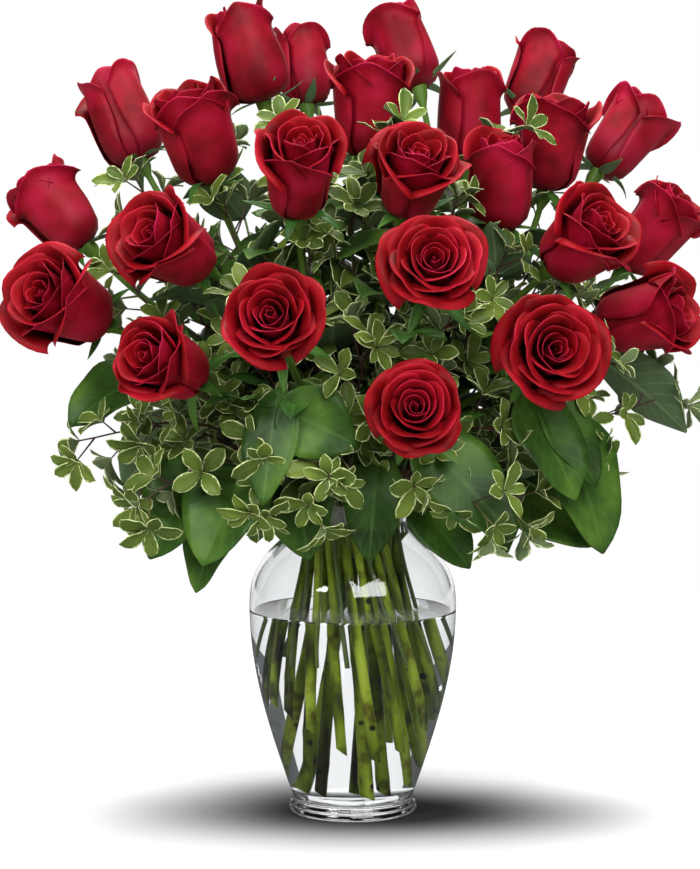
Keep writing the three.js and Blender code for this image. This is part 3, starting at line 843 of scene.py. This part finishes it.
# A spray's CAD node or None, its turn in the neck, its tip, and its leaves: base, tip and width.
salal = [
    ("salal_1", 202, (206, 0.140, 0.235), [
        ((-0.070, -0.080, 0.262), (-0.104, -0.122, 0.205), 0.060),
        ((-0.098, -0.058, 0.268), (-0.144, -0.085, 0.204), 0.054),
        ((-0.085, -0.055, 0.240), (-0.113, -0.074, 0.177), 0.042)]),
    ("salal_2", 242, (246, 0.120, 0.262), [
        ((-0.050, -0.112, 0.318), (-0.062, -0.142, 0.246), 0.036),
        ((-0.052, -0.120, 0.306), (0.000, -0.132, 0.282), 0.046),
        ((-0.040, -0.080, 0.270), (-0.034, -0.108, 0.204), 0.050)]),
    ("salal_3", 281, (288, 0.105, 0.222), [
        ((0.018, -0.090, 0.272), (0.011, -0.112, 0.203), 0.038),
        ((0.044, -0.090, 0.285), (0.108, -0.112, 0.221), 0.052),
        ((0.040, -0.070, 0.240), (0.081, -0.084, 0.194), 0.038)]),
    ("salal_4", 349, (342, 0.140, 0.243), [
        ((0.116, -0.080, 0.310), (0.157, -0.098, 0.246), 0.050),
        ((0.130, -0.070, 0.312), (0.172, -0.076, 0.252), 0.042),
        ((0.142, -0.045, 0.300), (0.182, -0.062, 0.205), 0.062),
        ((0.112, -0.030, 0.240), (0.174, -0.046, 0.206), 0.046),
        ((0.084, -0.045, 0.262), (0.112, -0.064, 0.204), 0.042)]),
    ("salal_5", 100, (95, 0.133, 0.250), [
        ((0.020, 0.100, 0.275), (0.034, 0.150, 0.215), 0.056),
        ((-0.030, 0.095, 0.275), (-0.058, 0.142, 0.222), 0.058),
        ((0.000, 0.080, 0.245), (-0.010, 0.118, 0.190), 0.050)]),
    (None, 170, (172, 0.150, 0.290), [
        ((-0.150, -0.005, 0.322), (-0.206, -0.022, 0.292), 0.046),
        ((-0.120, 0.030, 0.290), (-0.170, 0.052, 0.232), 0.056),
        ((-0.095, 0.020, 0.262), (-0.138, 0.022, 0.200), 0.052)]),
    (None, 20, (10, 0.150, 0.290), [
        ((0.180, 0.020, 0.334), (0.246, 0.006, 0.286), 0.048),
        ((0.120, 0.035, 0.290), (0.176, 0.060, 0.240), 0.058),
        ((0.096, 0.020, 0.262), (0.140, 0.030, 0.206), 0.050)]),
    (None, 130, (128, 0.120, 0.262), [
        ((-0.074, 0.080, 0.290), (-0.118, 0.124, 0.232), 0.056),
        ((-0.056, 0.072, 0.256), (-0.076, 0.104, 0.194), 0.048),
        ((-0.100, 0.080, 0.330), (-0.150, 0.110, 0.300), 0.048)]),
    (None, 60, (55, 0.120, 0.262), [
        ((0.074, 0.080, 0.290), (0.112, 0.126, 0.236), 0.056),
        ((0.056, 0.066, 0.256), (0.086, 0.094, 0.198), 0.048),
        ((0.100, 0.084, 0.330), (0.146, 0.120, 0.296), 0.048)]),
]
salal_rows, salal_columns = 14, 8
salal_widest = 0.42
spray_rings = 40
draw = random.Random(21)
for number, (node, turn, tip, leaves) in enumerate(salal, 1):
    line = spray_line(node, turn, *tip, spray_rings)
    lines, radii, blades = [line], [np.linspace(0.0017, 0.0011, spray_rings)], []
    for base, point, width in leaves:
        base, point = np.array(base), np.array(point)
        outer = line[spray_rings * 3 // 5:]
        start = outer[np.linalg.norm(outer - base, axis=1).argmin()]
        middle = (start + base) / 2 + (0, 0, leaf_stalk_bow)
        lines.append(smooth_line(np.array([start, middle, base]), spray_rings))
        radii.append(np.full(spray_rings, leaf_stalk_radius))
        length = np.linalg.norm(point - base)
        outward = unit(np.array([base[0] + point[0], base[1] + point[1], 0]))
        face = outward + np.array([draw.uniform(-0.3, 0.3), 0.9 * np.sign(outward[1]), 0.35])
        points = blade(length * 1.06, width * 1.12, salal_widest, draw.uniform(0.2, 0.55),
                       draw.uniform(0.1, 0.3), 0.035, salal_rows, salal_columns, draw)
        blades.append(placed(points, base, point - base, face))
    twigs = tubes(f"salal_{number}_twig", lines, radii, 6, twig_green)
    broad = leaf_piece(f"salal_{number}_leaves", blades, [salal_face, salal_back])
    for part, slot in ((twigs, "stem"), (broad, "salal_leaf")):
        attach(part, "root")
        if node:
            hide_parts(node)

# -------------------------------------------- salal inside the bunch
# More of the same broad leaves on stems that stand in the vase's neck and rise between the roses.
# Their leaves go round the stem one after another and fill the bunch's heart.

# A stem's turn in the neck, and its tip: turn, reach and height.
inner_salal = [
    (250, (255, 0.060, 0.410)), (290, (290, 0.070, 0.400)), (215, (205, 0.095, 0.385)),
    (330, (338, 0.100, 0.400)), (180, (175, 0.110, 0.420)), (5, (5, 0.120, 0.420)),
    (140, (145, 0.100, 0.440)), (45, (45, 0.110, 0.450)), (95, (95, 0.090, 0.430)),
    (270, (270, 0.020, 0.480)), (230, (220, 0.060, 0.470)), (310, (320, 0.060, 0.480)),
    (120, (120, 0.050, 0.520)), (60, (60, 0.060, 0.530)),
]
mouth_height = 0.225
leaf_turn = 2.4
turn_from = (0.1, 0.2, 0.97)
draw = random.Random(27)
for number, (turn, tip) in enumerate(inner_salal, 1):
    line = smooth_line(np.array([
        polar(turn, spray_ring - 0.008, foot_height), polar(turn, spray_ring - 0.002, mouth_height),
        polar((turn + tip[0]) / 2, 0.45 * tip[1] + 0.018, 0.31), polar(*tip)]), spray_rings)
    blades = []
    for k, i in enumerate(range(14, spray_rings, 4)):
        ahead = unit(line[min(i + 1, spray_rings - 1)] - line[i - 1])
        out = sideways(ahead, turn_from, k * leaf_turn + number)
        direction = unit(ahead * draw.uniform(0.1, 0.8) + out)
        size = draw.uniform(0.052, 0.072)
        points = blade(size, size * draw.uniform(0.56, 0.66), salal_widest, draw.uniform(0.2, 0.9), 0.25,
                       0.03, salal_rows, salal_columns, draw)
        face = np.array([line[i][0], line[i][1] - 0.03, 0]) * 6 + np.array([0, 0, 0.8])
        points = placed(points, line[i] + direction * 0.004, direction, face)
        if clear_of_all(points):
            blades.append(points)
    thinning = np.linspace(0.0017, 0.0009, spray_rings)
    twig = tubes(f"inner_salal_{number}_twig", [line], [thinning], 6, twig_green)
    broad = leaf_piece(f"inner_salal_{number}_leaves", blades, [salal_face, salal_back])
    for part, slot in ((twig, "stem"), (broad, "salal_leaf")):
        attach(part, "root")

# -------------------------------------------- pittosporum sprays
# Thin dark twigs that stand in the vase's neck and rise through the bunch or arch out over the
# lip. Short side twigs carry whorls of small leaves with wavy cream margins.

# A spray's CAD node or None, its turn in the neck, and its tip: turn, reach and height.
pittosporum = [
    ("pittosporum_1", 182, (193, 0.205, 0.276)),
    ("pittosporum_2", 222, (215, 0.185, 0.236)),
    ("pittosporum_3", 302, (308, 0.160, 0.222)),
    ("pittosporum_4", 13, (2, 0.238, 0.308)),
    ("pittosporum_5", 142, (140, 0.165, 0.285)),
    (None, 250, (256, 0.130, 0.238)), (None, 275, (290, 0.125, 0.250)), (None, 265, (275, 0.125, 0.356)),
    (None, 300, (305, 0.122, 0.372)), (None, 320, (318, 0.140, 0.290)), (None, 330, (332, 0.125, 0.415)),
    (None, 200, (190, 0.095, 0.450)), (None, 235, (245, 0.075, 0.430)), (None, 210, (214, 0.150, 0.330)),
    (None, 340, (345, 0.190, 0.340)), (None, 160, (165, 0.185, 0.360)), (None, 120, (120, 0.130, 0.400)),
    (None, 80, (90, 0.140, 0.320)), (None, 60, (65, 0.130, 0.420)), (None, 40, (40, 0.185, 0.310)),
    (None, 20, (20, 0.170, 0.440)), (None, 100, (105, 0.110, 0.500)), (None, 150, (150, 0.130, 0.500)),
    (None, 290, (300, 0.045, 0.500)), (None, 350, (355, 0.105, 0.500)), (None, 110, (110, 0.155, 0.245)),
    (None, 75, (70, 0.150, 0.250)), (None, 225, (228, 0.120, 0.385)), (None, 190, (180, 0.150, 0.430)),
    (None, 10, (350, 0.160, 0.390)), (None, 175, (176, 0.160, 0.468)), (None, 188, (184, 0.175, 0.405)),
    (None, 30, (22, 0.205, 0.420)), (None, 245, (238, 0.085, 0.500)), (None, 285, (268, 0.065, 0.445)),
    (None, 315, (322, 0.095, 0.455)), (None, 230, (240, 0.140, 0.285)), (None, 335, (338, 0.165, 0.262)),
    (None, 205, (203, 0.165, 0.290)), (None, 260, (268, 0.110, 0.300)), (None, 295, (292, 0.115, 0.315)),
    (None, 90, (80, 0.125, 0.380)), (None, 130, (135, 0.140, 0.340)), (None, 50, (52, 0.150, 0.360)),
    (None, 355, (5, 0.200, 0.365)), (None, 262, (263, 0.138, 0.258)), (None, 322, (324, 0.155, 0.218)),
    (None, 196, (200, 0.172, 0.238)), (None, 235, (240, 0.142, 0.232)), (None, 345, (350, 0.185, 0.268)),
]
leaf_rows, leaf_columns = 7, 4
whorl_spacing = 0.0165
low_tip = 0.30           # a spray with a lower tip than this arches over the lip
small_leaf_widest = 0.62
line_points, twig_rings = 80, 24
draw = random.Random(31)
for number, (node, turn, tip) in enumerate(pittosporum, 1):
    if tip[2] < low_tip:
        line = spray_line(node, turn, *tip, line_points)
    else:
        line = smooth_line(np.array([
            polar(turn, spray_ring - 0.006, foot_height), polar(turn, spray_ring, mouth_height),
            polar((turn + tip[0]) / 2, 0.45 * tip[1] + 0.02, 0.55 * vase_height + 0.45 * tip[2]),
            polar(*tip)]), line_points)
    lines = [line[np.linspace(0, line_points - 1, twig_rings).astype(int)]]
    radii = [np.linspace(0.0015, 0.0006, twig_rings)]
    blades = []
    reach = np.concatenate([[0], np.cumsum(np.linalg.norm(np.diff(line, axis=0), axis=1))])
    bare = reach[(line[:, 2] > vase_height + 0.012).argmax()] + 0.02
    for k, place in enumerate(np.arange(reach[-1], bare, -whorl_spacing)):
        i = min(int(np.searchsorted(reach, place)), line_points - 2)
        start, ahead = line[i], unit(line[i + 1] - line[i])
        side = sideways(ahead, turn_from, k * leaf_turn + draw.uniform(-0.5, 0.5))
        if k == 0:
            end, heading = start, ahead
        else:
            heading = unit(ahead * 0.75 + side * 0.9 + np.array([0, -0.15, 0.1]))
            end = start + heading * draw.uniform(0.012, 0.034)
            lines.append(np.linspace(start, end, twig_rings))
            radii.append(np.linspace(0.0008, 0.0005, twig_rings))
        count = draw.choice((4, 5, 5, 6))
        for j in range(count):
            around = j * 2 * math.pi / count + k + draw.uniform(-0.3, 0.3)
            out = sideways(heading, (0.3, 0.1, 0.9), around)
            open_out = draw.uniform(0.75, 1.4)
            direction = unit(heading * 0.75 + out * open_out + np.array([0, 0, draw.uniform(-0.15, 0.25)]))
            size = draw.uniform(0.017, 0.027)
            points = blade(size, size * draw.uniform(0.44, 0.54), small_leaf_widest, draw.uniform(0.1, 0.8),
                           draw.uniform(0.1, 0.45), 0.05, leaf_rows, leaf_columns, draw)
            points = placed(points, end - heading * draw.uniform(0, 0.004), direction, heading - out * 0.4)
            if clear_of_all(points):
                blades.append(points)
    twigs = tubes(f"pittosporum_{number}_twig", lines, radii, 5, twig_brown)
    small = leaf_piece(f"pittosporum_{number}_leaves", blades, [pittosporum_face, pittosporum_back])
    for part, slot in ((twigs, "stem"), (small, "pittosporum_leaf")):
        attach(part, "root")
        if node:
            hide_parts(node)

# -------------------------------------------- rose leaves and sepals
# Each rose's stem carries one or two thin green leaves, of three or five leaflets on a stalk
# that grows from the stem, and five narrow sepals curl out from the calyx under the bloom.

stalk_length, stalk_rings = 0.034, 8
end_leaflet, side_leaflet, leaflet_widest = 0.040, 0.032, 0.42
sepal_count, sepal_width, sepal_widest = 5, 0.0085, 0.36
draw = random.Random(41)
for number, flower in blooms.items():
    line = stem_lines[number]
    blades, lines, radii = [], [], []
    for share in (draw.uniform(0.66, 0.74), draw.uniform(0.78, 0.9)):
        i = int(share * (stem_rings - 1))
        if line[i][2] < vase_height + 0.02:
            continue
        ahead = unit(line[i + 1] - line[i])
        heading = unit(ahead * 0.9 + sideways(ahead, (0.2, 0.9, 0.1), draw.uniform(0, 2 * math.pi)))
        stalk_end = line[i] + heading * stalk_length
        lines.append(np.linspace(line[i], stalk_end, stalk_rings))
        radii.append(np.linspace(0.0010, 0.0006, stalk_rings))
        out = unit(np.cross(heading, [0, 0, 1]))
        face = np.cross(out, heading)
        face = face if face[2] > 0 else -face
        leaflets = [(stalk_end, heading, end_leaflet)]
        for back in (0.004, 0.018)[:draw.choice((1, 2))]:
            for sign in (-1, 1):
                leaflets.append((stalk_end - heading * back, heading * 0.6 + out * sign, side_leaflet))
        for start, direction, size in leaflets:
            points = blade(size, size * 0.58, leaflet_widest, draw.uniform(0.2, 0.7),
                           draw.uniform(0.1, 0.3), 0.03, leaf_rows, leaf_columns, draw)
            points = placed(points, start, direction, face + np.array([0, -0.3, 0]))
            if clear_of_all(points):
                blades.append(points)
    if lines:
        stalks = tubes(f"rose_{number:02d}_leaf_stalks", lines, radii, 5, twig_green)
        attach(stalks, "root")
    base, axis = flower["base"], flower["axis"]
    for j in range(sepal_count):
        out = sideways(axis, (0.1, 0.9, 0.2), j * 2 * math.pi / sepal_count + number)
        size = draw.uniform(0.028, 0.040)
        points = blade(size, sepal_width, sepal_widest, draw.uniform(-0.8, 1.6), 0.2, 0.0, leaf_rows,
                       leaf_columns, draw)
        blades.append(placed(points, base - axis * 0.002 + out * 0.004,
                             out + axis * draw.uniform(-0.35, 0.55), axis))
    green = leaf_piece(f"rose_{number:02d}_leaves", blades, [rose_leaf_face, salal_back])
    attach(green, "root")
